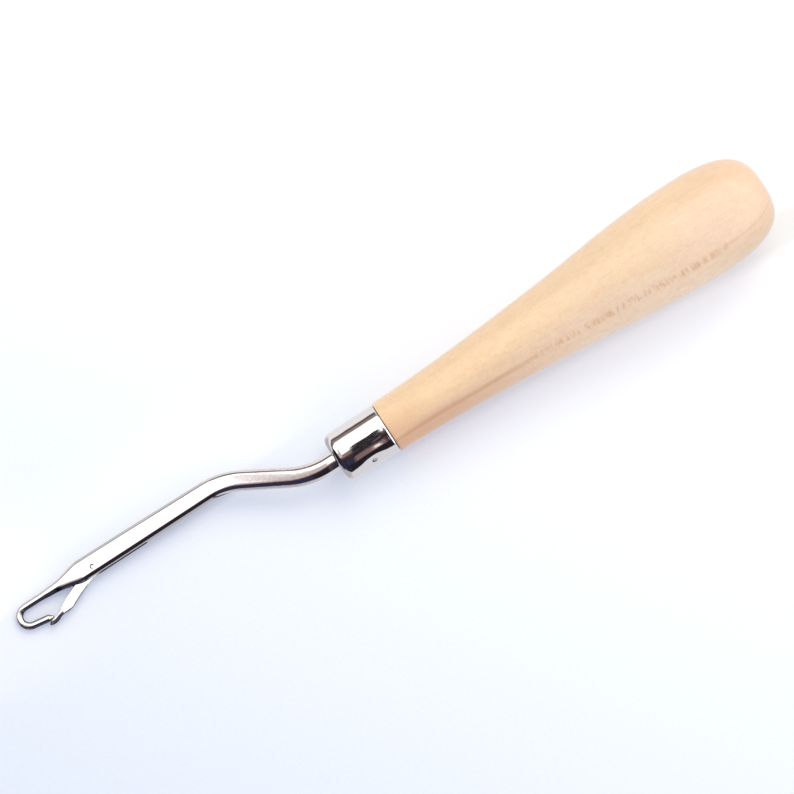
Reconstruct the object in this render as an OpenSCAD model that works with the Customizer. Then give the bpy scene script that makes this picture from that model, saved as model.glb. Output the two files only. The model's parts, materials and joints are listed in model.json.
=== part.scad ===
// Latch hook for rug yarn. A turned wooden handle wears a pressed metal ferrule, and a steel
// shank runs out of it, cranks to one side, flattens into a bar and ends in an open hook. A
// small leaf-shaped latch swings on a rivet and closes the hook.
//
// Every piece is drawn in the tool's own frame: X runs along the handle towards its butt and is
// 0 at the front face of the ferrule, Y points to the side that the shank cranks to, and Z is
// square to both. at_rest() then lays the whole tool on the table, Z up, with its origin at the
// middle of its foot print.

/* [Handle] */
// Length of the wood behind the ferrule
handle_l = 86.85; // [80:0.05:92]
// Largest diameter of the handle
handle_d = 20.5; // [18:0.1:23]
// Diameter of the wood just behind the ferrule
neck_d = 10.8; // [10.6:0.1:12]
// Length of the rounded butt, from the widest place to the end
butt_l = 17.6; // [14:0.1:22]
// Roundness of the butt: 2 is an ellipse and larger is squarer
butt_power = 3; // [2:0.1:4]
// Swell of the handle: share of the way to the widest place, share of the growth in radius
swell = [[0, 0], [0.19, 0.07], [0.41, 0.28], [0.64, 0.57], [0.8, 0.83], [1, 1]]; // [0:0.01:1]
// Gap left between the tang and the bottom of its hole
hole_gap = 1; // [0.5:0.5:3]

/* [Ferrule] */
// Length of the ferrule
ferrule_l = 11.75; // [10:0.05:13]
// Outer diameter of the ferrule
ferrule_d = 10.3; // [10:0.1:10.5]
// Thickness of the ferrule's sheet metal
ferrule_wall = 0.4; // [0.3:0.05:0.6]
// Radius of the rounded front corner
ferrule_corner = 1.7; // [1.2:0.1:2.2]
// Distance of the staking dimple from the front face
dimple_x = 6.5; // [5:0.1:8]
// Turn of the dimple from the top of the ferrule towards the latch's side
dimple_turn = 72; // [0:1:90]
// Diameter of the punch mark
punch_d = 1.6; // [1.2:0.1:2]
// Depth of the punch mark
punch_depth = 0.35; // [0.2:0.05:0.5]
// Radial gap between the ferrule's front hole and the shank
shank_gap = 0.05; // [0.02:0.01:0.1]

/* [Shank] */
// Diameter of the round shank where it enters the handle
shank_d = 3.95; // [3.7:0.05:4.1]
// Depth of the tang in the handle, from the ferrule's front face
tang_l = 38; // [30:1:45]
// Length of the straight neck in front of the ferrule
neck_l = 1.6; // [1.4:0.1:2.4]
// Sideways offset of the bar from the handle's axis
crank_offset = 8.63; // [8.4:0.01:8.8]
// Slope of the crank
crank_angle = 30; // [28:0.5:32]
// Bend radius of the crank next to the handle
crank_r_rear = 15.5; // [12:0.5:17]
// Bend radius of the crank next to the bar
crank_r_front = 14; // [12:0.5:16]
// Angle by which the bar runs outwards from the handle's direction
bar_lean = 0.15; // [0:0.05:0.3]
// Thickness of the shank where the slope of the crank starts
slope_t = 3.55; // [3.3:0.05:3.7]
// Radius of the shank's long corners where the slope of the crank starts
slope_corner = 1.45; // [1.2:0.05:1.6]
// Width of the bar behind the crank's front bend, and where it starts to narrow
bar_w = [4, 4.35]; // [3.8:0.05:4.4]
// Thickness of the bar at the same two places
bar_t = [2.95, 2.75]; // [2.6:0.05:3.2]
// Radius of the bar's long corners at the same two places
bar_corner = [0.85, 0.6]; // [0.4:0.05:1]
// Distance from the ferrule to where the bar starts to narrow
bar_end = 53; // [52.8:0.1:53.4]

/* [Hook] */
// Distance from the ferrule to the outside of the hook's bend
hook_reach = 68.75; // [68.4:0.05:69.2]
// Length over which the bar narrows to the hook's wire
taper_l = 10; // [9.6:0.1:10.4]
// Narrowing: share of the taper's length, share of the loss in width
taper = [[0, 0], [0.13, 0.1], [0.29, 0.41], [0.45, 0.67], [0.6, 0.84], [0.75, 0.92], [1, 1]]; // [0:0.01:1]
// Diameter of the hook's wire
hook_d = 1.4; // [1.2:0.05:1.45]
// Radius of the hook's bend at the middle of the wire
hook_r = 2; // [1.95:0.05:2.05]
// How far the hook lies outwards from the bar's middle line
hook_rise = 0.18; // [0:0.01:0.25]
// Angle at which the hook's free end leans away from the bar
hook_lean = 8.5; // [8:0.5:9]
// Length of the hook's free end
hook_free_l = 4.3; // [4.1:0.05:4.4]
// Width and thickness of the hook's tip
tip_size = [0.65, 0.85]; // [0.5:0.05:1]
// Length over which the hook's free end narrows to its tip
tip_l = 1; // [0.8:0.1:1.2]
// Length of the tip's rounded end
tip_round = 0.3; // [0.2:0.1:0.4]
// How far the tip bends away from the bar
tip_drop = 0.13; // [0:0.01:0.2]

/* [Latch] */
// Length of the latch from the rivet to its tip
latch_l = 13.8; // [13.6:0.1:14]
// Thickness of the latch's blade
latch_t = 0.8; // [0.6:0.05:0.85]
// Angle between the closed latch and the bar
latch_angle = 20.5; // [20:0.5:21]
// Radius of the cupped end's hollow along the latch
cup_bend = 2.8; // [2.6:0.1:3.4]
// Radius of the latch's eye
eye_r = 1.2; // [1:0.05:1.25]
// Edge of the blade on the hook's side: distance from the rivet, distance off the middle
inner_edge = [[0, -1.2], [2.6, -0.95], [5.2, -0.67], [6.9, -0.6], [8.5, -0.45], [10.5, 0.07], [11.4, 0.4]];
// Outer edge of the blade, in the same way
outer_edge = [[0, 1.2], [2.7, 1.21], [4.9, 1.26], [6.9, 1.42], [8.5, 1.53], [9.6, 1.29], [11.4, 0.8]];
// Width of the cupped end
cup_w = 2.3; // [2:0.1:2.4]
// Length of the cupped end
cup_l = 3.1; // [2.9:0.1:3.4]
// Distance from the tip back to the deepest point of the hollow
cup_back = 1.8; // [1.6:0.1:2]
// Depth of the hollow in the cupped end
cup_depth = 0.42; // [0.3:0.02:0.46]
// Thickness of the cupped end
cup_wall = 0.4; // [0.3:0.05:0.5]
// Distance of the bottom of the hollow from the latch's middle line
cup_floor = 0.56; // [0.52:0.01:0.6]
// Distance from the ferrule to the rivet
rivet_x = 50.7; // [50.6:0.1:50.8]
// Distance of the rivet from the handle's axis
rivet_y = 8.17; // [8.1:0.01:8.25]
// Diameter of the rivet
rivet_d = 1; // [0.9:0.1:1.1]
// Height of the rivet's domed ends above the bar's faces
rivet_dome = 0.06; // [0.02:0.01:0.1]
// Radial clearance between the rivet and the latch's hole
rivet_gap = 0.04; // [0.02:0.01:0.08]
// Width of the slot that the latch swings in
slot_w = 1; // [0.95:0.05:1.2]
// Radius of the disc that cuts the slot
slot_r = 14; // [13.6:0.1:14.4]
// Distance of the disc's middle behind the rivet
slot_back = 2.5; // [2.3:0.1:2.7]
// Height of the slot's roof above the rivet, at the disc's middle
slot_roof = 1.72; // [1.7:0.02:1.8]
// Turn of the latch from closed, for a look at its swing
latch_open = 0; // [0:1:145]

/* [Rest] */
// Angle by which the tool tips down to its hook when it lies on a table
rest_pitch = 3.65; // [3.6:0.01:3.7]
// Angle by which it rolls over to the latch's edge
rest_roll = 1.64; // [1.6:0.01:1.7]

/* [Hidden] */
$fn = 64;

// Slope of a smooth curve at one of its knots: level at both ends, else along its neighbours
function knot_slope(knots, i) =
  i == 0 || i == len(knots) - 1
    ? 0
    : (knots[i + 1][1] - knots[i - 1][1]) / (knots[i + 1][0] - knots[i - 1][0]);

// Height between knot i and the next one, at share t of the way
function between(knots, i, t) =
  let (span = knots[i + 1][0] - knots[i][0])
  (2 * t ^ 3 - 3 * t ^ 2 + 1) * knots[i][1]
  + (t ^ 3 - 2 * t ^ 2 + t) * span * knot_slope(knots, i)
  + (3 * t ^ 2 - 2 * t ^ 3) * knots[i + 1][1]
  + (t ^ 3 - t ^ 2) * span * knot_slope(knots, i + 1);

// A smooth curve through the knots, with a number of steps between each two of them
function smooth(knots, steps) = [
  for (i = [0 : len(knots) - 2])
    for (s = [0 : steps - 1])
      let (t = s / steps)
      [knots[i][0] + t * (knots[i + 1][0] - knots[i][0]), between(knots, i, t)],
  knots[len(knots) - 1]
];

// Handle
widest_x = ferrule_l + handle_l - butt_l;
tenon_d = ferrule_d - 2 * ferrule_wall;
butt_steps = 18;
swell_curve = [
  for (p = smooth(swell, 5))
    [ferrule_l + p[0] * (widest_x - ferrule_l), (neck_d + p[1] * (handle_d - neck_d)) / 2]
];
butt_curve = [
  for (i = [1 : butt_steps])
    let (turn = 90 * i / butt_steps)
    [widest_x + butt_l * sin(turn) ^ (2 / butt_power), handle_d / 2 * cos(turn) ^ (2 / butt_power)]
];
handle_outline = concat(
  [
    [ferrule_wall, 0],
    [ferrule_wall, tenon_d / 2 - ferrule_corner],
    [ferrule_corner, tenon_d / 2],
    [ferrule_l, tenon_d / 2]
  ],
  swell_curve,
  [for (p = butt_curve) [p[0], max(p[1], 0)]]
);

// Shank
// The swept part starts inside the round neck and leaves it before the crank
neck_end = neck_l - 0.3;
sweep_start = neck_end - 0.8;
neck_overlap = 0.01;
rise = (crank_r_rear * (1 - cos(crank_angle)) + crank_r_front * (cos(bar_lean) - cos(crank_angle)));
slope_l = (crank_offset - rise) / sin(crank_angle);
front_turn = crank_angle - bar_lean;
// Length of an arc of radius r over an angle
function arc(r, angle) = PI * r * angle / 180;
bar_start = neck_l + crank_r_rear * sin(crank_angle) + slope_l * cos(crank_angle)
  + crank_r_front * (sin(crank_angle) - sin(bar_lean));
hook_start = hook_reach - hook_r - hook_d / 2;
upper_l = hook_start - bar_end - taper_l;
// Stretches of the shank's middle line: length, turn to the left, rings drawn along it
stretches = [
  [neck_l - sweep_start, 0, 2],
  [arc(crank_r_rear, crank_angle), -crank_angle, 7],
  [slope_l, 0, 3],
  [arc(crank_r_front, front_turn), front_turn, 8],
  [(bar_end - bar_start) / cos(bar_lean), 0, 5],
  [taper_l, 0, 14],
  [upper_l, 0, 3],
  [arc(hook_r, 180 - hook_lean), 180 - hook_lean, 18],
  [hook_free_l - tip_l, 0, 2],
  [tip_l, 0, 4]
];

// Place and heading after going a distance along a stretch that turns at an even rate
function go(pose, length, turn) =
  turn == 0
    ? [pose[0] + length * cos(pose[2]), pose[1] + length * sin(pose[2]), pose[2]]
    : let (r = length * 180 / (PI * turn), h = pose[2] + turn)
      [pose[0] + r * (sin(h) - sin(pose[2])), pose[1] - r * (cos(h) - cos(pose[2])), h];

// Place and heading at the start of stretch i
function start_pose(i) =
  i == 0
    ? [-sweep_start, 0, 180]
    : go(start_pose(i - 1), stretches[i - 1][0], stretches[i - 1][1]);

// Distance along the middle line to the start of stretch i
function start_s(i) = i == 0 ? 0 : start_s(i - 1) + stretches[i - 1][0];

// All rings: distance along the middle line, x, y, heading
rings = [
  for (i = [0 : len(stretches) - 1])
    let (from = start_pose(i), s0 = start_s(i), length = stretches[i][0], n = stretches[i][2])
    for (k = [0 : i == len(stretches) - 1 ? n : n - 1])
      concat([s0 + length * k / n], go(from, length * k / n, stretches[i][1] * k / n))
];

s_crank = start_s(1);
s_slope = start_s(2);
s_bar = start_s(4);
s_taper = start_s(5);
s_tip = start_s(9);
s_end = s_tip + tip_l;
round_d = shank_d - 2 * neck_overlap;
taper_shares = smooth(taper, 4);

// Share p of the way from a value to another
function mix(from, to, p) = from + p * (to - from);

// The section along the middle line: distance, width, thickness, corner radius, sideways shift
sections = concat(
  [
    [0, round_d, round_d, round_d / 2, 0],
    [s_crank, round_d, round_d, round_d / 2, 0],
    [s_slope, round_d, slope_t, slope_corner, 0],
    [s_bar, bar_w[0], bar_t[0], bar_corner[0], 0],
    [s_taper - taper_l, bar_w[1] - 0.1, bar_t[1], bar_corner[1], 0]
  ],
  [
    for (p = taper_shares)
      [
        s_taper + p[0] * taper_l,
        mix(bar_w[1], hook_d, p[1]),
        mix(bar_t[1], hook_d, p[1]),
        mix(bar_corner[1], hook_d / 2, p[1]),
        p[1] * hook_rise
      ]
  ],
  [
    [s_tip, hook_d, hook_d, hook_d / 2, hook_rise],
    [s_end - tip_round, tip_size[0], tip_size[1], tip_size[0] / 2, hook_rise - tip_drop],
    [s_end, tip_size[0] / 2, tip_size[1] / 2, tip_size[0] / 4, hook_rise - tip_drop]
  ]
);

// Value number i of the section at distance s
function section(s, i) = lookup(s, [for (row = sections) [row[0], row[i]]]);

// Points of a rounded rectangle in the ring's plane, the same number for every ring
corner_steps = 6;
function rounded(w, t, r) = [
  for (q = [0 : 3])
    for (k = [0 : corner_steps - 1])
      let (a = 90 * (q + (k + 0.5) / corner_steps), sx = q == 0 || q == 3 ? 1 : -1, sy = q < 2 ? 1 : -1)
      [sx * (w / 2 - r) + r * cos(a), sy * (t / 2 - r) + r * sin(a)]
];
ring_n = 4 * corner_steps;
ring_points = [
  for (ring = rings)
    let (
      w = section(ring[0], 1),
      t = section(ring[0], 2),
      r = min(section(ring[0], 3), w / 2, t / 2),
      shift = section(ring[0], 4),
      left = [-sin(ring[3]), cos(ring[3])]
    )
    for (p = rounded(w, t, r))
      [ring[1] + left[0] * p[0], ring[2] + left[1] * p[0] + shift, p[1]]
];
ring_count = len(rings);
ring_faces = concat(
  [[for (k = [0 : ring_n - 1]) k]],
  [
    for (i = [0 : ring_count - 2])
      for (k = [0 : ring_n - 1])
        let (a = i * ring_n + k, b = i * ring_n + (k + 1) % ring_n)
        [b, a, a + ring_n, b + ring_n]
  ],
  [[for (k = [ring_n - 1 : -1 : 0]) (ring_count - 1) * ring_n + k]]
);

// Latch
cup_r = ((cup_w / 2) ^ 2 + cup_depth ^ 2) / (2 * cup_depth);
cup_low = latch_l - cup_back;
cup_mid = latch_l - cup_l / 3;
cup_steps = 8;
cup_root = latch_l - cup_l;
cup_half = concat(
  [
    for (i = [0 : cup_steps])
      let (t = i / cup_steps)
      [cup_root + t * (cup_mid - cup_root), latch_t / 2 + (3 * t ^ 2 - 2 * t ^ 3) * (cup_w - latch_t) / 2]
  ],
  [
    for (i = [1 : cup_steps])
      let (turn = 90 * i / cup_steps)
      [cup_mid + (latch_l - cup_mid) * sin(turn), cup_w / 2 * cos(turn)]
  ]
);
blade_outline = concat(smooth(outer_edge, 3), [for (i = [3 * (len(inner_edge) - 1) : -1 : 0]) smooth(inner_edge, 3)[i]]);

// Rivet
rivet_end = bar_t[1] / 2 + rivet_dome;
dome_r = ((rivet_d / 2) ^ 2 + rivet_dome ^ 2) / (2 * rivet_dome);

// Rest: the tool lies on the belly of the handle, the latch's edge and the hook's bend
// A point of the tool, rolled and then tipped
function tipped(p) =
  let (
    y = p[1] * cos(rest_roll) + p[2] * sin(rest_roll),
    z = p[2] * cos(rest_roll) - p[1] * sin(rest_roll)
  )
  [p[0] * cos(rest_pitch) - z * sin(rest_pitch), y, p[0] * sin(rest_pitch) + z * cos(rest_pitch)];
tipped_shank = [for (p = ring_points) tipped(p)];
rest_front = min([for (p = tipped_shank) p[0]]);
rest_back = max([for (p = handle_outline) p[0] * cos(rest_pitch) + p[1] * sin(rest_pitch)]);
rest_side = max([for (p = tipped_shank) p[1]]);
rest_floor = min([for (p = handle_outline) p[0] * sin(rest_pitch) - p[1] * cos(rest_pitch)]);
rest_shift = [-(rest_front + rest_back) / 2, (handle_d / 2 - rest_side) / 2, -rest_floor];

// The dimple that stakes the ferrule to the wood, grown by a wall
module dimple(wall) {
  translate([dimple_x, 0, 0])
    rotate([dimple_turn, 0, 0])
      translate([0, 0, ferrule_d / 2 - punch_depth - wall])
        cylinder(h = punch_depth + 1, d1 = punch_d / 4 + 2 * wall, d2 = 2 * punch_d + 2 * wall);
}

module handle() {
  color("burlywood")
    difference() {
      rotate([0, 90, 0])
        rotate_extrude()
          polygon([for (p = handle_outline) [p[1], p[0]]]);
      translate([ferrule_wall - 1, 0, 0])
        rotate([0, 90, 0])
          cylinder(h = tang_l + hole_gap - ferrule_wall + 1, d = shank_d);
      dimple(ferrule_wall);
    }
}

// A solid of the ferrule's shape: a cylinder with a rounded front corner. The seam of its turning
// lies well away from the dimple.
module capsule(d, corner, length) {
  rotate([0, 90, 0])
    rotate([0, 0, dimple_turn / 2])
      rotate_extrude()
        intersection() {
          square([d / 2, length]);
          union() {
            translate([d / 2 - corner, corner])
              circle(r = corner);
            square([d / 2 - corner, length]);
            translate([0, corner])
              square([d / 2, length]);
          }
        }
}

module ferrule() {
  color("gainsboro")
    difference() {
      union() {
        difference() {
          capsule(ferrule_d, ferrule_corner, ferrule_l);
          translate([ferrule_wall, 0, 0])
            capsule(tenon_d, ferrule_corner - ferrule_wall, ferrule_l);
        }
        intersection() {
          capsule(ferrule_d - ferrule_wall, ferrule_corner, ferrule_l);
          dimple(ferrule_wall);
        }
      }
      dimple(0);
      rotate([0, 90, 0])
        cylinder(h = 3 * ferrule_wall, d = shank_d + 2 * shank_gap, center = true);
    }
}

module shank() {
  color("silver")
    difference() {
      union() {
        polyhedron(ring_points, ring_faces);
        translate([-neck_end, 0, 0])
          rotate([0, 90, 0])
            cylinder(h = neck_end + tang_l, d = shank_d);
      }
      translate([-rivet_x, rivet_y, 0])
        cylinder(h = 2 * bar_t[0], d = rivet_d, center = true);
      translate([slot_back - rivet_x, rivet_y + slot_roof - slot_r, 0])
        cylinder(h = slot_w, r = slot_r, center = true, $fn = 256);
    }
}

module latch() {
  color("lightgray")
    translate([-rivet_x, rivet_y, 0])
      rotate([0, 0, 180 + latch_angle + latch_open])
        difference() {
          union() {
            linear_extrude(latch_t, center = true) {
              circle(r = eye_r);
              polygon(blade_outline);
            }
            cup();
          }
          cylinder(h = 2, d = rivet_d + 2 * rivet_gap, center = true);
        }
}

// The cupped end: a hollow curved both ways, cut to a rounded leaf
module cup() {
  intersection() {
    translate([cup_low, cup_floor - cup_bend, 0])
      rotate_extrude()
        intersection() {
          translate([cup_bend - cup_r, 0])
            difference() {
              circle(r = cup_r + cup_wall);
              circle(r = cup_r);
            }
          translate([cup_bend / 2, -cup_w / 2])
            square([cup_bend, cup_w]);
        }
    translate([0, cup_floor + 2 * cup_wall, 0])
      rotate([90, 0, 0])
        linear_extrude(2 * cup_bend)
          polygon(concat(cup_half, [for (i = [2 * cup_steps : -1 : 0]) [cup_half[i][0], -cup_half[i][1]]]));
  }
}

module latch_rivet() {
  color("gray")
    translate([-rivet_x, rivet_y, 0])
      rotate_extrude()
        intersection() {
          translate([0, -bar_t[1]])
            square([rivet_d / 2, 2 * bar_t[1]]);
          intersection_for(side = [-1, 1])
            translate([0, side * (rivet_end - dome_r)])
              circle(r = dome_r);
        }
}

module at_rest() {
  translate(rest_shift)
    rotate([-rest_roll, -rest_pitch, 0])
      children();
}

at_rest() handle();
at_rest() ferrule();
at_rest() shank();
at_rest() latch();
at_rest() latch_rivet();
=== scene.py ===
# %% [markdown]
# # A latch hook
# This lesson rebuilds a small yarn tool: a turned wooden handle, a bright ferrule, a cranked steel
# shank that ends in a hook, and a latch that swings on a rivet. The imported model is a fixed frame.
# It says where each piece is and how large it may be, and every piece is modelled again inside it,
# with finer curves and with a real finish.

# %% Load the frame
import json
import math

import bmesh
import bpy
from mathutils import Matrix, Vector


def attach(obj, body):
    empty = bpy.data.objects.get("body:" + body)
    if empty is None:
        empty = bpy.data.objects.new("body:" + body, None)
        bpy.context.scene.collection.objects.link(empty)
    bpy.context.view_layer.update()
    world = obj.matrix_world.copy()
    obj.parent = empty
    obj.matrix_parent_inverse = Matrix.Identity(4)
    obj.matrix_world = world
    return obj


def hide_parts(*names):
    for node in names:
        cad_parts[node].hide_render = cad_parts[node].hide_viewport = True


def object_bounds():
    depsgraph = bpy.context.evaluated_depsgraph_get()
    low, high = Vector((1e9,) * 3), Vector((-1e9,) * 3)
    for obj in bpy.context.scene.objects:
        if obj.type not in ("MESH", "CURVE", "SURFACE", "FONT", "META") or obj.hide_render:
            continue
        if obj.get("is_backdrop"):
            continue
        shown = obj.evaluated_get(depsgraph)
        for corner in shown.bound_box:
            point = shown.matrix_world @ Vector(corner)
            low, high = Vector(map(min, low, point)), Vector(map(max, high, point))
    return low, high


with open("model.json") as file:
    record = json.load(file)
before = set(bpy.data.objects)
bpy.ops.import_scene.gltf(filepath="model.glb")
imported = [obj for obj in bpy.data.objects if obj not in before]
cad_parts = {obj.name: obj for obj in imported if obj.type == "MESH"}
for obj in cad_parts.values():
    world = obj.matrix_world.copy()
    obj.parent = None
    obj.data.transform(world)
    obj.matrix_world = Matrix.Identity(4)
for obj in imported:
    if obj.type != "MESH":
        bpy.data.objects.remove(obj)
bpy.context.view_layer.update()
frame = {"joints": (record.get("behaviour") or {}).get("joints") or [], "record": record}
MM = 0.001

# %% [markdown]
# The tool lies tipped on the table, so its pieces are easier to draw in a frame of their own: X runs
# along the handle from the front of the ferrule, Y points to the side of the crank, and Z is square
# to both. Two things in the record give that frame. The grip on the ferrule lies on X, and the
# latch swings about Z.

# %% The tool's own frame, in millimetres
ferrule_l = 11.75
ferrule_r = 5.15
ferrule_corner = 1.7
grip = next(m for m in frame["record"]["mounts"] if m["name"] == "ferrule_grip")
swing = frame["joints"][0]
tool_x = -Vector(grip["axis"]).normalized()
tool_z = Vector(swing["axis"])
tool_z = (tool_z - tool_z.dot(tool_x) * tool_x).normalized()
tool_y = tool_z.cross(tool_x)
grip_x = (ferrule_corner + ferrule_l) / 2
tool = Matrix((tool_x * MM, tool_y * MM, tool_z * MM)).transposed().to_4x4()
tool.translation = Vector(grip["pos_m"]) - tool_x * grip_x * MM
pivot = tool.inverted() @ Vector(swing["pos_m"])
print("rivet, in the tool's frame:", [round(x, 2) for x in pivot])

# %% [markdown]
# Four helpers do most of the modelling. A smooth curve through a few knots gives outlines. A turned
# piece is a profile that the spin operator takes round X, as on a lathe. A lofted piece is a row of
# loops that bridge_loops joins. And every finished mesh is placed once, has its normals made to
# point outwards, and is tied to the body that carries it.

# %% Helpers for shapes
def smooth_curve(knots, x):
    """Height at x of a curve that runs smoothly through the knots and is level at both ends."""
    if x <= knots[0][0]:
        return knots[0][1]
    if x >= knots[-1][0]:
        return knots[-1][1]
    i = next(k for k in range(len(knots) - 1) if x < knots[k + 1][0])

    def slope(k):
        if k in (0, len(knots) - 1):
            return 0
        return (knots[k + 1][1] - knots[k - 1][1]) / (knots[k + 1][0] - knots[k - 1][0])

    span = knots[i + 1][0] - knots[i][0]
    t = (x - knots[i][0]) / span
    start = (2 * t ** 3 - 3 * t ** 2 + 1) * knots[i][1] + (t ** 3 - 2 * t ** 2 + t) * span * slope(i)
    end = (3 * t ** 2 - 2 * t ** 3) * knots[i + 1][1] + (t ** 3 - t ** 2) * span * slope(i + 1)
    return start + end


def sin(a):
    """Sine of an angle in degrees."""
    return math.sin(math.radians(a))


def cos(a):
    """Cosine of an angle in degrees."""
    return math.cos(math.radians(a))


def steps(start, end, count):
    """Evenly spaced values from start to end, both included."""
    return [start + (end - start) * i / count for i in range(count + 1)]


def arc(x, r, radius, start, end, count):
    """Points on an arc about (x, r), with the angle measured from the way back along X."""
    return [(x + radius * cos(a), r + radius * sin(a)) for a in steps(start, end, count)]


def chain(bm, points, closed=False):
    """Edges through the points, in order."""
    verts = [bm.verts.new(p) for p in points]
    pairs = list(zip(verts, verts[1:]))
    if closed:
        pairs.append((verts[-1], verts[0]))
    return [bm.edges.new(pair) for pair in pairs]


def turned(profile, turns, closed=False):
    """A piece turned on a lathe: the profile is a list of (x, radius)."""
    bm = bmesh.new()
    edges = chain(bm, [(x, 0, r) for x, r in profile], closed)
    verts = list({v for e in edges for v in e.verts})
    bmesh.ops.spin(bm, geom=verts + edges, cent=(0, 0, 0), axis=(1, 0, 0), dvec=(0, 0, 0),
                   angle=2 * math.pi, steps=turns, use_merge=True, use_duplicate=False)
    bmesh.ops.remove_doubles(bm, verts=bm.verts, dist=0.0005)
    return bm


def lofted(rings):
    """A skin over a row of loops with the same number of points, closed at both ends."""
    bm = bmesh.new()
    loops = [chain(bm, ring, closed=True) for ring in rings]
    for one, two in zip(loops, loops[1:]):
        bmesh.ops.bridge_loops(bm, edges=one + two)
    for end in (loops[0], loops[-1]):
        bmesh.ops.contextual_create(bm, geom=end)
    return bm


def rounded_box(w, t, r, corner_steps=10, side_steps=1):
    """Points round a rectangle of width w and thickness t whose corners have radius r."""
    corners = []
    for q, (sx, sy) in enumerate(((1, 1), (-1, 1), (-1, -1), (1, -1))):
        turns = steps(90 * q, 90 * q + 90, corner_steps)
        corners.append([(sx * (w / 2 - r) + r * cos(a), sy * (t / 2 - r) + r * sin(a)) for a in turns])
    points = []
    for here, there in zip(corners, corners[1:] + corners[:1]):
        points += here
        for s in steps(0, 1, side_steps)[1:-1]:
            points.append(tuple(a + (b - a) * s for a, b in zip(here[-1], there[0])))
    return points


def placed(bm, name, local=None):
    """Makes a smooth mesh object of a bmesh drawn in the tool's frame, or in a local one inside it."""
    bm.transform(tool @ (local or Matrix.Identity(4)))
    bmesh.ops.recalc_face_normals(bm, faces=bm.faces)
    for face in bm.faces:
        face.smooth = True
    mesh = bpy.data.meshes.new(name)
    bm.to_mesh(mesh)
    bm.free()
    piece = bpy.data.objects.new(name, mesh)
    bpy.context.scene.collection.objects.link(piece)
    return piece


def carved(piece, *cutters):
    """Takes each cutter's shape out of the piece, and throws the cutter away."""
    for cutter in cutters:
        tool_cut = piece.modifiers.new("cut", "BOOLEAN")
        tool_cut.operation = "DIFFERENCE"
        tool_cut.solver = "EXACT"
        tool_cut.object = cutter
    seen = piece.evaluated_get(bpy.context.evaluated_depsgraph_get())
    mesh = bpy.data.meshes.new_from_object(seen)
    piece.modifiers.clear()
    piece.data = mesh
    for cutter in cutters:
        bpy.data.objects.remove(cutter)
    return piece


def stands_for(piece, node, body):
    """The piece takes the place of a CAD node and moves with that node's body."""
    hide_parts(node)
    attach(piece, body)
    print(piece.name, "has", len(piece.data.vertices), "points")


# %% [markdown]
# The handle is one piece of hardwood, turned on a lathe and rounded at the butt. A profile and one
# spin give it exactly that. The tenon under the ferrule and the blind hole for the tang belong to
# it too, although the ferrule hides them. The swell needs only a few knots, and the butt is a
# superellipse, which is squarer than a plain ellipse.

# %% Handle
handle_l = 86.85
handle_r = 10.25
neck_r = 5.4
butt_l = 17.6
butt_power = 3
tang_l = 38
shank_r = 1.975
wall = 0.4
groove_w = 0.06
shoulder = 0.12
swell = [(0, 0), (0.19, 0.07), (0.41, 0.28), (0.64, 0.57), (0.8, 0.83), (1, 1)]
widest_x = ferrule_l + handle_l - butt_l


def handle_radius(x):
    """Radius of the wood at a place between the ferrule and its widest point."""
    share = (x - ferrule_l) / (widest_x - ferrule_l)
    return neck_r + smooth_curve(swell, share) * (handle_r - neck_r)


hole_end = tang_l + 1
handle_profile = [(hole_end, 0), (hole_end, shank_r), (wall, shank_r), (wall, ferrule_r - ferrule_corner)]
handle_profile += [(ferrule_corner, ferrule_r - wall), (ferrule_l, ferrule_r - wall)]
wood_x = ferrule_l + groove_w
handle_profile += [(wood_x, ferrule_r - wall), (wood_x, neck_r - shoulder)]
handle_profile += arc(wood_x + shoulder, neck_r - shoulder, shoulder, 180, 90, 6)[1:-1]
handle_profile += [(x, handle_radius(x)) for x in steps(wood_x + shoulder, widest_x, 80)]
for turn in steps(0, 90, 40)[1:]:
    up = sin(turn) ** (2 / butt_power)
    out = max(cos(turn), 0) ** (2 / butt_power)
    handle_profile.append((widest_x + butt_l * up, handle_r * out))
handle = placed(turned(handle_profile, 160), "wooden_handle")
stands_for(handle, "handle", "tool")

# %% [markdown]
# The ferrule is a cup drawn from thin sheet metal: closed and rounded in front, with a hole for the
# shank, and open at the back. It is turned as a closed wall, outside and inside in one profile. Its
# one dimple was struck with a punch to hold it on the wood. That is a sculptor's move: each point
# of the wall near the punch is pushed inwards, a little over a wide dish and more under the punch.

# %% Ferrule
dimple_x = 6.55
dimple_turn = math.radians(72.2)
dish = (3, 1.9, 0.33)
punch = (0.5, 0.6, 0.08)
rim_from = ferrule_l - 0.75
rim_size = (0.45, 0.15)
ridge = 0.02
hole_r = shank_r + 0.05

corner_r = ferrule_r - ferrule_corner
outside = arc(0.06, hole_r + 0.06, 0.06, 270, 180, 4)
outside += arc(ferrule_corner, corner_r, ferrule_corner, 180, 90, 28)
outside += [(x, ferrule_r) for x in steps(ferrule_corner, rim_from, 100)[1:]]
rim_at = ferrule_l - rim_size[0]
outside += [(rim_from + share * (rim_at - rim_from), ferrule_r + ridge * sin(90 * share) ** 2)
            for share in steps(0, 1, 8)[1:]]
outside += [(rim_at + rim_size[0] * sin(a), ferrule_r + ridge - rim_size[1] * (1 - cos(a)))
            for a in steps(0, 90, 16)[1:]]
inside = [(ferrule_l, ferrule_r - wall)]
inside += [(x, ferrule_r - wall) for x in steps(ferrule_l - 0.2, ferrule_corner, 30)]
inside += arc(ferrule_corner, corner_r, ferrule_corner - wall, 90, 180, 10)[1:]
inside += [(wall, hole_r)]
cup = turned(outside + inside, 320, closed=True)
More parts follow.
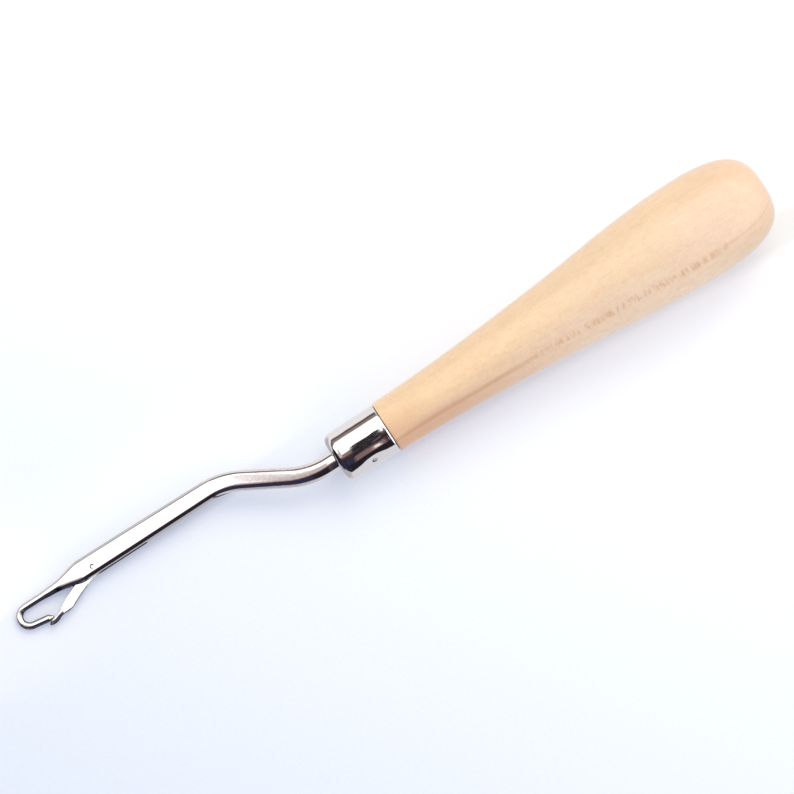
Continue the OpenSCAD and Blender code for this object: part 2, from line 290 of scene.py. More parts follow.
for v in cup.verts:
    r = math.hypot(v.co.y, v.co.z)
    turn = math.atan2(-v.co.y, v.co.z) - dimple_turn
    across = ferrule_r * math.atan2(math.sin(turn), math.cos(turn))
    far = [math.hypot((v.co.x - dimple_x) / long, across / wide) for long, wide, deep in (dish, punch)]
    push = dish[2] * math.exp(-far[0] ** 2 * 1.6)
    push += punch[2] * max(0, 1 - far[1] ** 2)
    v.co.y *= 1 - push / r
    v.co.z *= 1 - push / r
ferrule = placed(cup, "ferrule_cup")
stands_for(ferrule, "ferrule", "tool")

# %% [markdown]
# The shank starts as a round rod. The smith bends it sideways and back, presses the front flat into
# a bar, draws it down to a wire and turns that round into a hook. So it is drawn as a walk along
# the rod's middle line. Each stretch says how long it is and how far it turns, and the section at
# each step is a rounded rectangle that changes from round to flat and back to round.

# %% The walk along the shank
neck_l = 1.6
crank_angle = 30
crank_offset = 8.63
crank_r = (15.5, 14)
bar_lean = 0.15
bar_end = 53
taper_l = 10
hook_reach = 68.75
hook_d = 1.4
hook_r = 2
hook_lean = 8.5
free_l = 4.3
tip_l = 1


def arc_length(r, angle):
    return math.radians(angle) * r


rise = crank_r[0] * (1 - cos(crank_angle)) + crank_r[1] * (cos(bar_lean) - cos(crank_angle))
slope_l = (crank_offset - rise) / sin(crank_angle)
bar_start = neck_l + crank_r[0] * sin(crank_angle) + slope_l * cos(crank_angle)
bar_start += crank_r[1] * (sin(crank_angle) - sin(bar_lean))
upper_l = hook_reach - hook_r - hook_d / 2 - bar_end - taper_l
front_turn = crank_angle - bar_lean
bend = 180 - hook_lean
stretches = {
    "tang": (tang_l + neck_l, 0, 30),
    "rear bend": (arc_length(crank_r[0], crank_angle), -crank_angle, 24),
    "slope": (slope_l, 0, 14),
    "front bend": (arc_length(crank_r[1], front_turn), front_turn, 24),
    "bar": ((bar_end - bar_start) / cos(bar_lean), 0, 40),
    "taper": (taper_l, 0, 44),
    "upper wire": (upper_l, 0, 10),
    "hook": (arc_length(hook_r, bend), bend, 56),
    "lower wire": (free_l - tip_l, 0, 12),
    "tip": (tip_l, 0, 12),
}


def go(pose, length, turn):
    """Place and heading after going along a stretch that turns at an even rate."""
    x, y, heading = pose
    if turn == 0:
        return x + length * cos(heading), y + length * sin(heading), heading
    r = length / math.radians(turn)
    after = heading + turn
    return x + r * (sin(after) - sin(heading)), y - r * (cos(after) - cos(heading)), after


walk = []
begins = {}
pose = (tang_l, 0, 180)
gone = 0
for name, (length, turn, count) in stretches.items():
    begins[name] = gone
    for share in steps(0, 1, count)[:-1]:
        walk.append((gone + share * length, *go(pose, share * length, share * turn)))
    pose = go(pose, length, turn)
    gone += length
walk.append((gone, *pose))
begins["end"] = gone
print("the rod is", round(gone, 1), "mm long")

# %% [markdown]
# The section's width, thickness, corner radius and sideways shift each follow a row of stations
# along the walk. Between two stations they change evenly, apart from the taper, which has a curve of
# its own. The flats stay a hair wider than nothing even where the rod is round, so that no
# two points of a ring fall together.

# %% Sections of the shank
slope_t = 3.55
slope_corner = 1.6
bar_w = (4, 4.5)
bar_t = (2.95, 2.75)
bar_corner = (1.1, 1.1)
taper = [(0, 0), (0.13, 0.1), (0.29, 0.41), (0.45, 0.67), (0.6, 0.82), (0.75, 0.89), (1, 1)]
hook_rise = 0.18
tip_size = (0.65, 0.85)
tip_drop = 0.13
tip_round = 0.3
rod_d = 2 * shank_r
taper_start = begins["taper"]
stations = [
    (0, rod_d, rod_d, shank_r, 0),
    (begins["rear bend"], rod_d, rod_d, shank_r, 0),
    (begins["slope"], rod_d, slope_t, slope_corner, 0),
    (begins["bar"], bar_w[0], bar_t[0], bar_corner[0], 0),
    (taper_start - taper_l, bar_w[1] - 0.1, bar_t[1], bar_corner[1], 0.07),
]
for share in steps(0, 1, 40):
    thin = smooth_curve(taper, share)
    stations.append((
        taper_start + share * taper_l,
        bar_w[1] + thin * (hook_d - bar_w[1]),
        bar_t[1] + thin * (hook_d - bar_t[1]),
        bar_corner[1] + thin * (hook_d / 2 - bar_corner[1]),
        0.07 + thin * (hook_rise - 0.07),
    ))
stations.append((begins["tip"], hook_d, hook_d, hook_d / 2, hook_rise))
tip_far = begins["end"] - tip_round
for share in steps(0, 1, 6):
    small = math.sqrt(max(1 - share ** 2, 0.04))
    w, t = tip_size[0] * small, tip_size[1] * small
    stations.append((tip_far + share * tip_round, w, t, w / 2, hook_rise - tip_drop))
print(len(stations), "stations")


def section_at(s):
    """Width, thickness, corner radius and shift at a distance along the walk."""
    for before, after in zip(stations, stations[1:]):
        if s <= after[0]:
            share = (s - before[0]) / (after[0] - before[0])
            return [a + share * (b - a) for a, b in zip(before[1:], after[1:])]
    return list(stations[-1][1:])


rings = []
for s, x, y, heading in walk:
    w, t, r, shift = section_at(s)
    r = min(r, w * 0.495, t * 0.495)
    rings.append([(x - sin(heading) * a, y + cos(heading) * a + shift, b) for a, b in rounded_box(w, t, r)])
shank = placed(lofted(rings), "steel_shank")

# %% [markdown]
# A saw cuts the slot that the latch swings in, from below and not right through, and a drill makes
# the hole for the rivet. Both are real cuts here too, with a Boolean for each tool.

# %% Slot and rivet hole
slot_w = 1
slot_r = 14
slot_back = 2.5
slot_roof = 1.72
rivet_r = 0.5
bar_face = bar_t[1] / 2


def saw_blade():
    """The disc that cuts the slot."""
    bm = bmesh.new()
    bmesh.ops.create_cone(bm, cap_ends=True, segments=400, radius1=slot_r, radius2=slot_r, depth=slot_w)
    centre = (pivot.x + slot_back, pivot.y + slot_roof - slot_r, 0)
    return placed(bm, "saw", Matrix.Translation(centre))


def drill(r):
    """A drill through the rivet's place, along Z."""
    bm = bmesh.new()
    bmesh.ops.create_cone(bm, cap_ends=True, segments=64, radius1=r, radius2=r, depth=4 * bar_face)
    return placed(bm, "drill", Matrix.Translation((pivot.x, pivot.y, 0)))


carved(shank, saw_blade(), drill(rivet_r))
stands_for(shank, "shank", "tool")

# %% [markdown]
# The rivet is a short pin. It was ground flush with the bar, and a round punch, held a little askew,
# left a shallow hollow in each end.

# %% Rivet
hollow_r = 0.485
hollow_depth = 0.1
hollow_skew = 0.05
pin_half = bar_face - 0.004
rim = [(pin_half, hollow_r * share) for share in steps(0, 1, 14)]
rim += [(pin_half, rivet_r - 0.01), (pin_half - 0.01, rivet_r)]
pin = turned(rim + [(-x, r) for x, r in reversed(rim)], 64)
for v in pin.verts:
    share = math.hypot(v.co.y, v.co.z) / hollow_r
    if share < 1:
        askew = hollow_skew * (1 - share ** 2) * (v.co.y - v.co.z) / hollow_r
        v.co.x -= math.copysign(hollow_depth * (1 - share ** 3) + askew, v.co.x)
turn_up = Matrix.Translation((pivot.x, pivot.y, 0)) @ Matrix.Rotation(math.pi / 2, 4, "Y")
rivet = placed(pin, "latch_pin", turn_up)
stands_for(rivet, "latch_rivet", "tool")

# %% [markdown]
# The latch is pressed from one strip: an eye for the rivet, a leaf-shaped blade, and a tip that is
# twisted flat and hollowed to a small spoon. One row of rings makes all of it without a seam. In
# the blade a ring is wide across the latch and thin along Z, and in the spoon it is the other
# way round, with its two wings bent towards the hook.

# %% Latch
latch_l = 13.8
latch_t = 0.8
latch_angle = 20.5
eye_r = 1.2
inner_edge = [(0, -1.2), (2.6, -0.95), (5.2, -0.67), (6.9, -0.6), (8.5, -0.5), (9.7, -0.24),
              (10.6, 0.1), (11.3, 0.4), (12, 0.56), (12.8, 0.46), (13.5, 0.17), (13.8, 0.0)]
outer_edge = [(0, 1.2), (2.7, 1.21), (4.9, 1.26), (6.9, 1.42), (8.5, 1.53), (9.5, 1.33), (10.3, 1.02),
              (11, 0.9), (12, 0.97), (12.8, 0.87), (13.5, 0.58), (13.8, 0.4)]
half_height = [(0, 0.4), (9.8, 0.4), (10.4, 0.5), (11, 0.74), (11.8, 1), (12.5, 1.1), (13.1, 1),
               (13.5, 0.7), (13.8, 0.22)]
wing_bend = [(10, 0), (11.2, 0.42), (13.8, 0.42)]
blade_corner = 0.13


def latch_ring(a):
    """The loop round the latch at a distance from the rivet."""
    if a < 0:
        reach = math.sqrt(max(eye_r ** 2 - a ** 2, 0.0025))
        low, high, half = -reach, reach, latch_t / 2
    else:
        low, high, half = (smooth_curve(row, a) for row in (inner_edge, outer_edge, half_height))
    corner = min(blade_corner, 0.45 * (high - low), 0.9 * half)
    curl = smooth_curve(wing_bend, a)
    middle = (low + high) / 2
    loop = rounded_box(high - low, 2 * half, corner, 5, 7)
    return [(a, middle + p - curl * (z / 1.15) ** 2, z) for p, z in loop]


stops = [-eye_r * cos(a) for a in steps(3, 90, 14)] + steps(0, 9.5, 60)[1:] + steps(9.5, latch_l, 60)[1:]
turn_latch = Matrix.Rotation(math.radians(180 + latch_angle), 4, "Z")
at_pivot = Matrix.Translation((pivot.x, pivot.y, 0))
latch = placed(lofted([latch_ring(a) for a in stops]), "latch_blade", at_pivot @ turn_latch)
carved(latch, drill(rivet_r + 0.04))
stands_for(latch, "latch", "latch")

# %% [markdown]
# Flat faces that meet rounded corners shade best when large faces count for more than small ones.
# A weighted-normal modifier does that, and edges sharper than 35 degrees stay crisp. Where a cut
# left a sharp edge, a tiny bevel catches the light as a filed edge does.

# %% Crisp edges and even shading
edge_angle = math.radians(35)
for piece, bevel_w in ((shank, 0.05), (latch, 0.03), (ferrule, 0), (rivet, 0), (handle, 0)):
    if bevel_w:
        bevel = piece.modifiers.new("filed edges", "BEVEL")
        bevel.width = bevel_w * MM
        bevel.segments = 2
        bevel.limit_method = "ANGLE"
        bevel.angle_limit = edge_angle
    piece.data.set_sharp_from_angle(angle=edge_angle)
    weighted = piece.modifiers.new("even shading", "WEIGHTED_NORMAL")
    weighted.keep_sharp = True

# %% [markdown]
# Materials are written as sums. A field is a socket that can be added, multiplied or compared, and
# each sum adds its Math node. Colours go through Mix nodes. Everything else comes from one method
# of the finish, which takes a node's kind, its settings and the values of its sockets.

# %% Fields and finishes
class Field:
    """A socket that can be used in sums."""

    def __init__(self, finish, socket):
        self.finish = finish
        self.socket = socket

    def math(self, operation, *others):
        return self.finish.node("Math", {"operation": operation}, dict(enumerate((self, *others))))

    def __add__(self, other):
        return self.math("ADD", other)

    def __sub__(self, other):
        return self.math("SUBTRACT", other)

    def __rsub__(self, other):
        return self * -1 + other

    def __mul__(self, other):
        return self.math("MULTIPLY", other)

    __radd__ = __add__
    __rmul__ = __mul__

    def between(self, low, high):
        """0 below low, 1 above high, and smooth in the middle."""
        values = {"Value": self, "From Min": low, "From Max": high}
        return self.finish.node("MapRange", {"interpolation_type": "SMOOTHSTEP"}, values)


class Finish:
    """A material with one Principled shader."""

    def __init__(self, name, **plain):
        self.material = bpy.data.materials.new(name)
        self.material.use_nodes = True
        self.tree = self.material.node_tree
        self.shader = self.tree.nodes["Principled BSDF"]
        self.set(self.shader, plain)

    def set(self, node, values):
        for key, value in values.items():
            socket = node.inputs[key.replace("_", " ") if isinstance(key, str) else key]
            if isinstance(value, Field):
                self.tree.links.new(value.socket, socket)
            else:
                socket.default_value = value

    def node(self, kind, settings=None, values=None, out=0):
        """Adds a node and gives back one of its outputs as a field."""
        node = self.tree.nodes.new("ShaderNode" + kind)
        for key, value in (settings or {}).items():
            if key == "stops":
                ramp = node.color_ramp.elements
                for place, (at, colour) in enumerate(value):
                    stop = ramp[place] if place < 2 else ramp.new(at)
                    stop.position = at
                    stop.color = colour
            else:
                setattr(node, key, value)
        self.set(node, values or {})
        return Field(self, node.outputs[out])

    def mix(self, share, one, two):
        """Colour one where share is 0 and colour two where it is 1."""
        sockets = {0: share, 6: one, 7: two}
        return self.node("Mix", {"data_type": "RGBA"}, sockets, out=2)

    def noise(self, at, scale, detail=3, roughness=0.5):
        values = {"Vector": at, "Scale": scale, "Detail": detail, "Roughness": roughness}
        return self.node("TexNoise", None, values)

    def bump(self, height, distance, strength=1):
        values = {"Height": height, "Distance": distance, "Strength": strength}
        return self.node("Bump", None, values)

    def place(self, scale=(1, 1, 1)):
        """Object coordinates turned into the tool's own frame, in millimetres, then scaled."""
        here = tool.inverted()
        turn = here.to_quaternion().to_euler()
        where = self.node("TexCoord", out=3)
        local = self.node("Mapping", None, {"Vector": where, "Location": here.translation,
                                            "Rotation": turn, "Scale": (1 / MM,) * 3})
        return self.node("Mapping", None, {"Vector": local, "Scale": scale})

    def axes(self, vector):
        """The three parts of a vector, each as a field."""
        split = self.node("SeparateXYZ", None, {0: vector}).socket.node
        return [Field(self, split.outputs[i]) for i in range(3)]

    def on(self, *pieces):
        for piece in pieces:
            piece.data.materials.clear()
            piece.data.materials.append(self.material)


def tone(r, g, b):
    """A colour written as a screen shows it, 0 to 255, turned into light."""
    parts = [c / 255 for c in (r, g, b)]
    light = [c / 12.92 if c <= 0.04045 else ((c + 0.055) / 1.055) ** 2.4 for c in parts]
    return (*light, 1)


# %% [markdown]
# The handle is pale hardwood under a thin satin lacquer. Round the handle the colour goes from honey
# on the crank's side to a warm blush on the other, deeper near the ferrule, and soft mottling and
# fine fibres lie over it. The blush's paler tone, and the paler lower side at the butt, are partly
# painted light that stands in for light bounced up from the sheet. Along one growth line the wood is
# darker, and further back the turning cut its rays flat there, so that short ticks stand across the
# grain. Just behind the ferrule, a dark edge and a darker band on the lower side are painted shade
# in the joint. All of it is noise, stretched along or across the grain, and masks that read the
# angle round the handle and the place along it.

# %% Wood
wood = Finish("pale lacquered hardwood", Coat_Weight=0.75, Coat_Roughness=0.34, Coat_IOR=1.45,
              Sheen_Weight=0.5, Sheen_Roughness=0.3)
along, side, height = wood.axes(wood.place())
turn = side.math("ARCTAN2", height)
slow = wood.noise(wood.place((0.02, 0.22, 0.22)), 1, 2) - 0.5
low = 1 - (turn + slow * 1.4).between(-1.05, -0.3)
near = 1 - along.between(10, 62)
honey = wood.mix(along.between(20, 60), tone(250, 214, 163), tone(250, 217, 174))
colour = wood.mix(turn.between(0.1, 0.9), honey, tone(253, 218, 172))
# Painted light, in part: this paler blush also stands in for light bounced up from the sheet.
colour = wood.mix(low, colour, tone(254, 225, 193))
colour = wood.mix(low * near, colour, tone(224, 174, 138))
# Painted light, in part: the paler lower side at the butt stands in for more light falling there.
colour = wood.mix(along.between(70, 90) * (1 - turn.between(-0.5, 0.6)), colour, tone(248, 220, 188))
colour = wood.mix(along.between(78, 95) * 0.55, colour, tone(238, 200, 162))
blush = (1 - along.between(12, 24)) * turn.between(-1, -0.6) * (1 - turn.between(-0.1, 0.4))
colour = wood.mix(blush * 0.6, colour, tone(232, 184, 136))
mottle = wood.noise(wood.place((0.5, 0.8, 0.8)), 1, 4, 0.62)
colour = wood.mix(mottle.between(0.35, 0.72) * 0.2, colour, tone(222, 172, 128))
fibres = wood.noise(wood.place((0.08, 2.4, 2.4)), 1, 3, 0.55)
colour = wood.mix(fibres.between(0.42, 0.75) * 0.1, colour, tone(212, 160, 114))
pores = wood.noise(wood.place((2.2, 3.4, 3.4)), 1, 2, 0.7)
colour = wood.mix(pores.between(0.4, 0.7) * 0.16, colour, tone(208, 158, 116))
off_line = (turn + 0.86 + slow * 0.25).math("ABSOLUTE", 0)
growth = (1 - off_line.between(0.01, 0.14)) * (1 - along.between(32, 48))
growth = growth + (1 - off_line.between(0.005, 0.06)) * along.between(83, 88) * 0.35
colour = wood.mix(growth * 0.5, colour, tone(200, 142, 98))
belt = (1 - off_line.between(0.03, 0.13)) * along.between(34, 46) * (1 - along.between(83, 90))
rays = wood.noise(wood.place((1.7, 0.4, 0.4)), 1, 3, 0.6)
colour = wood.mix(rays.between(0.42, 0.62) * belt * 0.6, colour, tone(222, 166, 116))
# Painted shade: a darker band on the lower side and a dark edge just behind the ferrule stand in for the shade
# in the joint.
under = 1 - turn.between(-0.9, 0.1)
colour = wood.mix((1 - along.between(wood_x, wood_x + 0.4)) * under * 0.45, colour, tone(150, 104, 78))
colour = wood.mix(1 - along.between(wood_x, wood_x + 0.05), colour, tone(110, 76, 58))
wood.set(wood.shader, {"Base Color": colour, "Roughness": 0.36 + fibres * 0.14,
                       "Normal": wood.bump(fibres + pores * 0.5, 0.00002)})
wood.on(handle)

# %% [markdown]
# The metal is bright nickel plate on steel. The drawn ferrule is nearly a mirror. The bar and the
# latch were polished along their length, so their shine is a little softer. The neck and the slope
# kept the dull, faintly pitted skin of the forging. A little noise in the roughness and the relief
# keeps every surface from looking drawn. Dark colour painted into the punch mark, round the rivet,
# inside the hook and on the latch's spoon is painted shade.

# %% Nickel
def nickel(name, colour, shine, waves, grain):
    """Plated metal with a given roughness, wave height and grain direction."""
    metal = Finish(name, Metallic=1.0, Base_Color=colour)
    smear = metal.noise(metal.place(grain), 1, 4, 0.6)
    slow = metal.noise(metal.place((0.5, 0.5, 0.5)), 1, 2)
    metal.set(metal.shader, {"Roughness": shine + smear.between(0.35, 0.75) * 0.06,
                             "Normal": metal.bump(slow * waves + smear * 0.01, 0.0001)})
    return metal


def ring(metal, x, y, inner, outer, open_to, gap=1):
    """A soft ring round the place (x, y), in mm, that fades by gap towards the direction open_to."""
    far = (x * x + y * y).math("SQRT")
    side = (x * cos(open_to) + y * sin(open_to)).math("DIVIDE", far)
    band = far.between(inner - 0.06, inner) * (1 - far.between(outer, outer + 0.06))
    return band * (1 - side.between(0.1, 0.8) * gap)


mirror = nickel("drawn nickel cup", tone(226, 224, 222), 0.03, 0.06, (0.8, 3, 3))
along, side, height = mirror.axes(mirror.place())
across = (side.math("ARCTAN2", height) + dimple_turn) * ferrule_r
# Painted shade: dark rings in the punch mark and round the rivet's hollow stand in for the shade and dark
# reflections in these hollows.
hollow_shade = ring(mirror, (along - dimple_x) * 1.05, across, 0.36, 0.6, 0, 0.6)
hollow_shade = hollow_shade + ring(mirror, along - pivot.x, side - pivot.y, 0.32, 0.45, -45)
mirror.set(mirror.shader, {"Base Color": mirror.mix(hollow_shade, tone(226, 224, 222), tone(28, 25, 27))})
brushed = nickel("polished nickel latch", tone(226, 223, 220), 0.05, 0.06, (0.5, 4, 4))
along, side, height = brushed.axes(brushed.place())
reach = (along - pivot.x) * -cos(latch_angle) + (side - pivot.y) * -sin(latch_angle)
out = (along - pivot.x) * sin(latch_angle) + (side - pivot.y) * -cos(latch_angle)
# Painted shade: a patch on the spoon is made dark and not metallic, in place of the shade it mirrors from the
# table below.
spoon_shade = reach.between(10.1, 10.6) * out.between(0.4, 0.6)
brushed.set(brushed.shader, {"Base Color": brushed.mix(spoon_shade, tone(226, 223, 220), tone(62, 60, 74)),
                             "Metallic": 1 - spoon_shade})
forged = Finish("nickel on forged steel", Metallic=1.0)
along, side, height = forged.axes(forged.place())
skin = along.between(-22, -12) * (1 - along.between(-6, -3.5))
pits = forged.noise(forged.place((1.3, 1.6, 1.6)), 1, 5, 0.65)
# Painted shade: the inner side of the hook's upper wire is made dark and less metallic, in place of the shade
# there.
inner = (1 - side.between(8.55, 8.75)) * side.between(6.5, 7)
inner = inner * along.between(-68.2, -66) * (1 - along.between(-60.5, -56.5))
plate = forged.mix(skin * pits.between(0.3, 0.7), tone(226, 223, 220), tone(216, 208, 207))
smear = forged.noise(forged.place((0.5, 4, 4)), 1, 4, 0.6)
forged.set(forged.shader, {
    "Base Color": forged.mix(inner.between(0, 0.6), plate, tone(54, 51, 63)),
    "Metallic": 1 - inner.between(0.5, 1),
    "Roughness": 0.05 + smear * 0.06 + skin * (0.03 + pits * 0.1),
    "Normal": forged.bump(smear * 0.01 + skin * pits * 0.2, 0.0001),
})
mirror.on(ferrule, rivet)
forged.on(shank)
brushed.on(latch)

# %% [markdown]
# The tool lies on a white sheet in soft daylight. Most of the light comes from everywhere, with a
# little blue in it. A wide warm lamp on the crank's side and a weaker one on the other side add the
# rest, so shadows are faint, soft and blue. The light stays at a plain level. What makes the sheet white to the
# camera is a faint glow of its own, which only the camera sees. Where the glow is uneven it is painted light: it
# fades across the sheet, is raised beside the hook and the bar and is warmer round the hook. Darker
# colour in the sheet beside the handle and under the bar is painted contact shadow.

# %% Sheet and daylight
def staged(name, bm):
    """A mesh that belongs to the studio and not to the tool."""
    mesh = bpy.data.meshes.new(name)
    bm.to_mesh(mesh)
    bm.free()
    thing = bpy.data.objects.new(name, mesh)
    bpy.context.scene.collection.objects.link(thing)
    thing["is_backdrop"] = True
    return thing


sheet = bmesh.new()
bmesh.ops.create_grid(sheet, x_segments=1, y_segments=1, size=2)
paper = Finish("white sheet", Roughness=0.9, Specular_IOR_Level=0.2)
to_camera = paper.node("LightPath", out=0)
where = paper.node("TexCoord", out=3)
# Painted light: the glow fades across the sheet, standing in for a window's light falling off.
fade = paper.axes(paper.node("Mapping", None, {"Vector": where, "Rotation": (0, 0, -0.66)}))[0] * 6.8 + 0.66
tooth = paper.noise(where, 1500, 2, 0.6)
near_x, near_y, near_z = paper.axes(paper.place())
glow = paper.mix(fade, (0.055, 0.11, 0.3, 1), (0.33, 0.34, 0.46, 1))
here = near_x.between(-150, -100)
# Painted light: the glow is raised beside the hook and the bar on the crank's side, and made warmer round the
# hook, which lightens their shadows.
painted_light = near_y.between(8.6, 10.4) * (1 - near_y.between(16, 34)) * (1 - near_x.between(-16, 12)) * here
glow = paper.mix(painted_light * 0.12, glow, (0.75, 0.72, 0.6, 1))
loop = near_y.between(-10, 2) * (1 - near_x.between(-64, -50)) * here
glow = paper.mix(loop * 0.06, glow, (1, 0.7, 0.6, 1))
white = paper.mix(tooth, (0.71, 0.715, 0.59, 1), (0.77, 0.775, 0.65, 1))
# Painted shadow: the sheet's colour is darker in a band beside the handle and under the bar, where the tool's
# contact shadow falls.
beside = near_y * -1 - near_x * 0.068
contact_shadow = beside.between(-6, -2) * (1 - beside.between(2.3, 5.3)) * near_x.between(-5, 5)
white = paper.mix(contact_shadow, white, (0.6, 0.595, 0.45, 1))
contact_shadow = near_y.between(5.2, 7.6) * (1 - near_y.between(9, 10)) * near_x.between(-57, -50)
white = paper.mix(contact_shadow * (1 - near_x.between(-24, -14)), white, (0.48, 0.47, 0.36, 1))
paper.set(paper.shader, {"Base Color": white,
                         "Emission Color": glow, "Emission Strength": to_camera})
table = staged("table", sheet)
table.visible_glossy = False
paper.on(table)

world = bpy.data.worlds.new("soft daylight")
bpy.context.scene.world = world
world.use_nodes = True
sky = world.node_tree.nodes["Background"].inputs
sky["Color"].default_value = tone(238, 241, 255)
sky["Strength"].default_value = 0.82

lamps = (
    ("key", (0.7, 0.55, 0.95), 6.9, (1, 0.95, 0.88)),
    ("fill", (0.5, -0.95, 0.55), 2.8, (1, 0.96, 0.98)),
)
for name, place, watts, colour in lamps:
    light = bpy.data.lights.new(name, "AREA")
    light.size = 0.9
    light.energy = watts
    light.color = colour
    lamp = bpy.data.objects.new(name, light)
    bpy.context.scene.collection.objects.link(lamp)
    lamp.location = place
    lamp.rotation_euler = Vector(place).to_track_quat("Z", "Y").to_euler()
    lamp.visible_glossy = False

# %% [markdown]
# Metal shows what surrounds it, so two tubes round the tool hold the room, and only reflections see
# them. The wide one is the room itself, and the narrow one stands for what was close to the ferrule.
# Angles count from the tool's Z towards the crank's side. A ramp over them paints a bright window
# overhead, a dim wall beyond it, a dark room on the viewer's side and the white table below. Masks
# add what stood in front: a dark edge and a pink glint over the ferrule, a hand that dulls the
# slope, and the shadow on the table that the hook and the latch mirror.

# %% The room in the reflections
bright = (1.9, 1.9, 1.86)
dark = (0.02, 0.017, 0.022)


def reflected(name, bm):
    """A studio piece that only reflections see."""
    thing = staged(name, bm)
    thing.visible_camera = False
    thing.visible_diffuse = False
    thing.visible_shadow = False
    thing.visible_transmission = False
    return thing


def room_tube(name, r, low_x, high_x, closed):
    """A tube round the tool's X axis that only reflections see."""
    bm = bmesh.new()
    bmesh.ops.create_cone(bm, cap_ends=closed, segments=180, radius1=r, radius2=r, depth=high_x - low_x)
    middle = Matrix.Translation(((low_x + high_x) / 2, 0, 0))
    bm.transform(tool @ middle @ Matrix.Rotation(math.pi / 2, 4, "Y"))
    return reflected(name, bm)


def room_stop(angle, r, g, b):
    """A ramp stop at an angle of the room, with its colour halved so that it may pass white."""
    return (angle / 360 + 0.5, (r / 2, g / 2, b / 2, 1))


room = Finish("room")
here, across, up = room.axes(room.place())
radius = (across * across + up * up).math("SQRT")
wave = room.node("CombineXYZ", None, {0: here * 0.5, 1: across.math("DIVIDE", radius) * 4, 2: radius})
ripple = room.noise(wave, 1, 3) - 0.5
angle = across.math("ARCTAN2", up) * (180 / math.pi) + ripple * 8


def patch(x, turn, soft_x=0.8, soft_turn=4):
    """A soft-edged rectangle on the tubes, from x[0] to x[1] and over a range of angles."""
    mask = here.between(x[0] - soft_x, x[0]) * (1 - here.between(x[1], x[1] + soft_x))
    return mask * angle.between(turn[0] - soft_turn, turn[0]) * (1 - angle.between(turn[1], turn[1] + soft_turn))


tones = room.node("ValToRGB", {"stops": [
    room_stop(-180, 0.8, 0.8, 0.88), room_stop(180, 0.9, 0.9, 1), room_stop(-105, 0.88, 0.87, 0.93),
    room_stop(-101, *dark), room_stop(-36, *dark), room_stop(-27, 0.13, 0.055, 0.05),
    room_stop(-18, 0.36, 0.2, 0.18), room_stop(-13, *bright), room_stop(26, *bright),
    room_stop(30, 1.25, 1.25, 1.25), room_stop(34, *bright), room_stop(49, *bright),
    room_stop(53, 0.36, 0.29, 0.28), room_stop(63, 0.3, 0.24, 0.23), room_stop(68, 0.14, 0.1, 0.095),
    room_stop(75, 0.14, 0.1, 0.095), room_stop(79, 1.08, 1.04, 1.04),
]}, {"Fac": angle * (1 / 360) + 0.5})
blotch = room.noise(wave, 2.5, 3)
below = angle.math("ABSOLUTE", 0).between(100, 104)
masks = (
    ((1 - here.between(-990, -890)) * angle.between(-104, -100) * (1 - angle.between(52, 58)), dark),
    ((1 - here.between(-1900, -1200)) * angle.between(50, 58) * (1 - angle.between(76, 79)), (0.06, 0.03, 0.03)),
    (below * (1 - here.between(-30, -5)), (0.56, 0.56, 0.62)),
    (below * here.between(-500, -200) * (1 - here.between(-120, -100)), (0.78, 0.78, 0.84)),
    (1 - here.between(-2390, -2350), dark),
    ((1 - here.between(-2390, -2350)) * angle.between(96, 104) * radius.between(280, 360), (0.6, 0.6, 0.66)),
    ((1 - here.between(-1500, -1200)) * angle.between(-155, -115) * (1 - angle.between(-101, -97)), dark),
    (here.between(60, 150) * angle.between(-102, -98) * (1 - angle.between(-25, -12)), bright),
    (patch((-150, 2.5), (-97, -36), 1.5), (0.02, 0.018, 0.032)),
    (patch((-2300, -160), (-97, -36), 20), (0.033, 0.036, 0.082)),
    (patch((-3, 2.4), (-60, -40), 0.8, 8), (0.036, 0.037, 0.08)),
    (patch((-3.5, -2.2), (-62, -38), 0.6, 6), (0.14, 0.11, 0.125)),
    (patch((-4, 3.2), (-22, -11), 1, 3), (0.36, 0.25, 0.23)),
    (patch((-200, -13), (50, 70), 8), (0.24, 0.235, 0.24)),
    (here.between(60, 150) * angle.between(46, 54) * (1 - angle.between(76, 82)), (0.7, 0.68, 0.68)),
    (patch((-200, -70), (50, 90), 22), (0.6, 0.6, 0.62)),
    (patch((-45, -14), (-12, 26), 8, 6), (1.2, 1.16, 1.17)),
    (patch((-22, -15), (8, 25), 1.5, 3), (1.08, 1.04, 1.05)),
    (patch((-18, -5), (-14, 14), 4, 8) * (0.8 + blotch * 0.4), (0.66, 0.57, 0.56)),
    (patch((-1000, -200), (-17, 6), 60, 6) * (0.8 + blotch * 0.4), (0.66, 0.57, 0.56)),
    (patch((3.5, 10.1), (-36, -2), 0.3, 3), (0.03, 0.024, 0.03)),
    (patch((3, 11), (-42, -8)) * blotch.between(0.5, 0.62) * 0.6, (0.09, 0.085, 0.1)),
    (patch((8.1, 9.6), (-35, -32), 0.5, 3), (0.16, 0.13, 0.16)),
    (patch((3.6, 10), (-65, -49), 0.8, 7) * (0.6 + blotch * 0.6), (0.3, 0.18, 0.19)),
    (patch((7.7, 8.6), (-63, -56), 0.7, 6), (1.2, 1.05, 1.05)),
    (patch((-2.9, -2.3), (-86, -78), 0.4, 4) * blotch.between(0.4, 0.6), (0.6, 0.5, 0.5)),
    (patch((-150, -88), (-180, -103), 6), (0.1, 0.1, 0.15)),
)
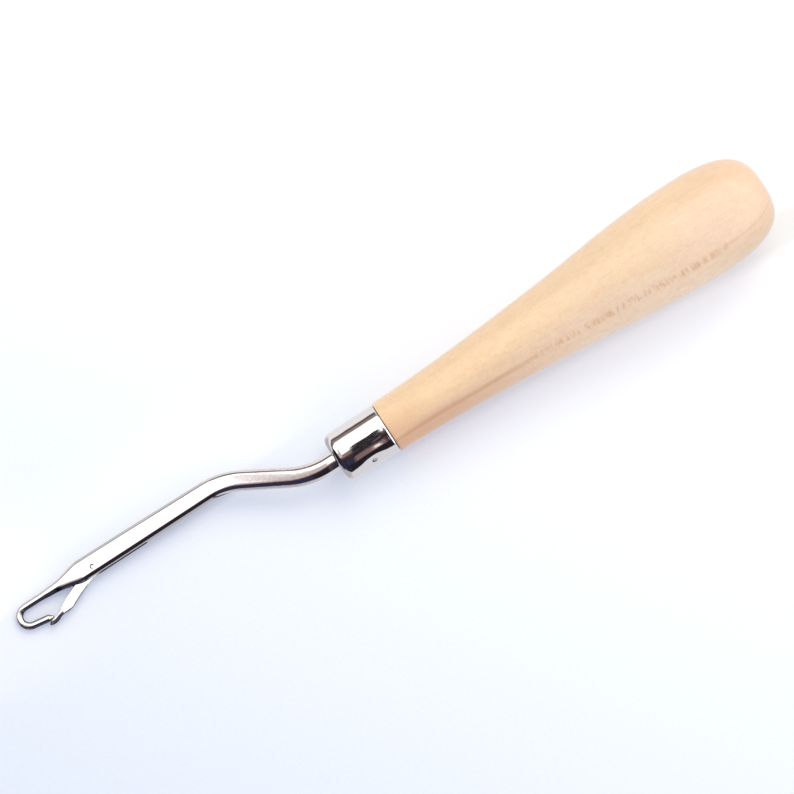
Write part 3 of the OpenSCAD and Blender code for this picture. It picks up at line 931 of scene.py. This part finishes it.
for mask, (r, g, b) in masks:
    tones = room.mix(mask, tones, (r / 2, g / 2, b / 2, 1))
light = room.node("Emission", None, {"Color": tones, "Strength": 2})
room.tree.links.new(light.socket, room.tree.nodes["Material Output"].inputs["Surface"])
room.on(room_tube("room", 900, -2400, 8000, True), room_tube("close_by", 60, -21, 12.5, False))

shade = bmesh.new()
bmesh.ops.create_circle(shade, cap_ends=True, segments=48, radius=9 * MM)
middle = tool @ Vector((-61.5, 3.5, 0))
shade.transform(Matrix.Translation((middle.x, middle.y, 0)) @ Matrix.Diagonal((1, 0.75, 1, 1)))
gloom = Finish("shade under the hook", Base_Color=(0, 0, 0, 1), Roughness=1, Specular_IOR_Level=0,
               Emission_Color=(0.08, 0.085, 0.12, 1), Emission_Strength=1)
gloom.on(reflected("shade", shade))

# %% [markdown]
# The camera stands where the photographer stood: over the tool, leaning 14 degrees towards the side
# away from the crank, with the handle pointing up and to the right. A long lens from far away keeps
# the shape free of distortion.

# %% Camera
photo_width = 794
pixel_mm = 0.1935
camera_far = 2400
lean = 14
photo_angle = 32.8
aim_at = (16.67, 3.82)
back = Vector((0, -sin(lean), cos(lean)))
right = Vector((1, 0, 0))
above = back.cross(right)
photo_right = right * cos(photo_angle) - above * sin(photo_angle)
photo_up = above * cos(photo_angle) + right * sin(photo_angle)
aim = right * aim_at[0] + above * aim_at[1]
eye_at = aim + back * camera_far
turn = Matrix((photo_right, photo_up, back)).transposed().to_4x4()
lens = bpy.data.cameras.new("camera")
lens.sensor_width = 36
lens.lens = lens.sensor_width * camera_far / (photo_width * pixel_mm)
camera = bpy.data.objects.new("camera", lens)
bpy.context.scene.collection.objects.link(camera)
stand = tool @ Matrix.Translation(eye_at) @ turn
camera.matrix_world = Matrix.LocRotScale(stand.translation, stand.to_quaternion(), None)
bpy.context.scene.camera = camera
bpy.context.scene.view_settings.view_transform = "Standard"

# %% [markdown]
# Last, the size of what was made is printed.

# %% Sizes
low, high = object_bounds()
print("visual box, in mm:", [round(x / MM, 2) for x in (*low, *high)])
